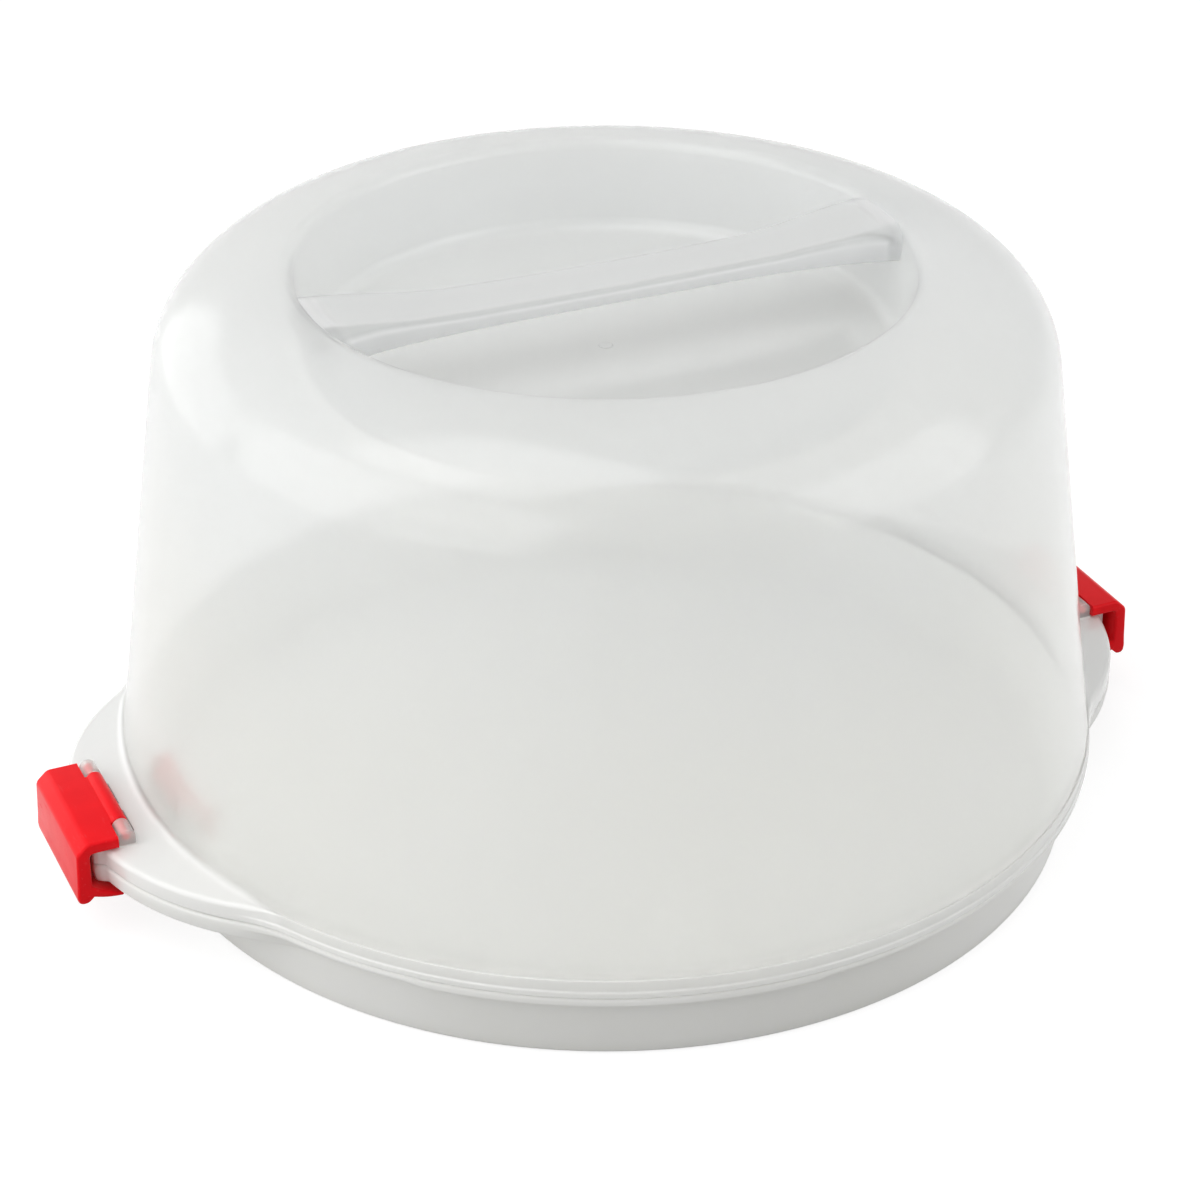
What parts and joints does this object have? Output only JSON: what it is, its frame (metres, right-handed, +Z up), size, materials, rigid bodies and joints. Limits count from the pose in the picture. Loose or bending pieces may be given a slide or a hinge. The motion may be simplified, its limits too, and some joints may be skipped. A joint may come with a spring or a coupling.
{
  "type": "cake carrier",
  "caption": "Round cake carrier: shallow tray with side ears, lift-off translucent dome with a grip bar in a recess, held down by hinged clips.",
  "frame": {"origin": "on the table, under the middle of the round tray", "axes": "+Z up, +X from the middle of the tray to the right ear and its clip, +Y to the back"},
  "size_m": [0.3842, 0.3258, 0.1933],
  "materials": {
    "tray_white": "satin, off-white polypropylene",
    "dome_frosted": "translucent natural polypropylene with a soft gloss",
    "clip_red": "smooth, red polypropylene"
  },
  "bodies": {
    "tray": {"base_tray": "tray_white"},
    "lid": {"dome_lid": "dome_frosted", "carry_handle": "dome_frosted"},
    "left_latch": {"left_clip": "clip_red"},
    "right_latch": {"right_clip": "clip_red"}
  },
  "joints": [
    {"name": "lid_lift", "type": "slide", "parent": "tray", "child": "lid", "axis": [0, 0, 1], "range_m": [0, 0.2]},
    {"name": "left_clip_hinge", "type": "hinge", "parent": "lid", "child": "left_latch", "pos_m": [-0.1744, 0, 0.0356], "axis": [0, 1, 0], "range_deg": [0, 140]},
    {"name": "right_clip_hinge", "type": "hinge", "parent": "lid", "child": "right_latch", "pos_m": [0.1744, 0, 0.0356], "axis": [0, -1, 0], "range_deg": [0, 140]}
  ]
}
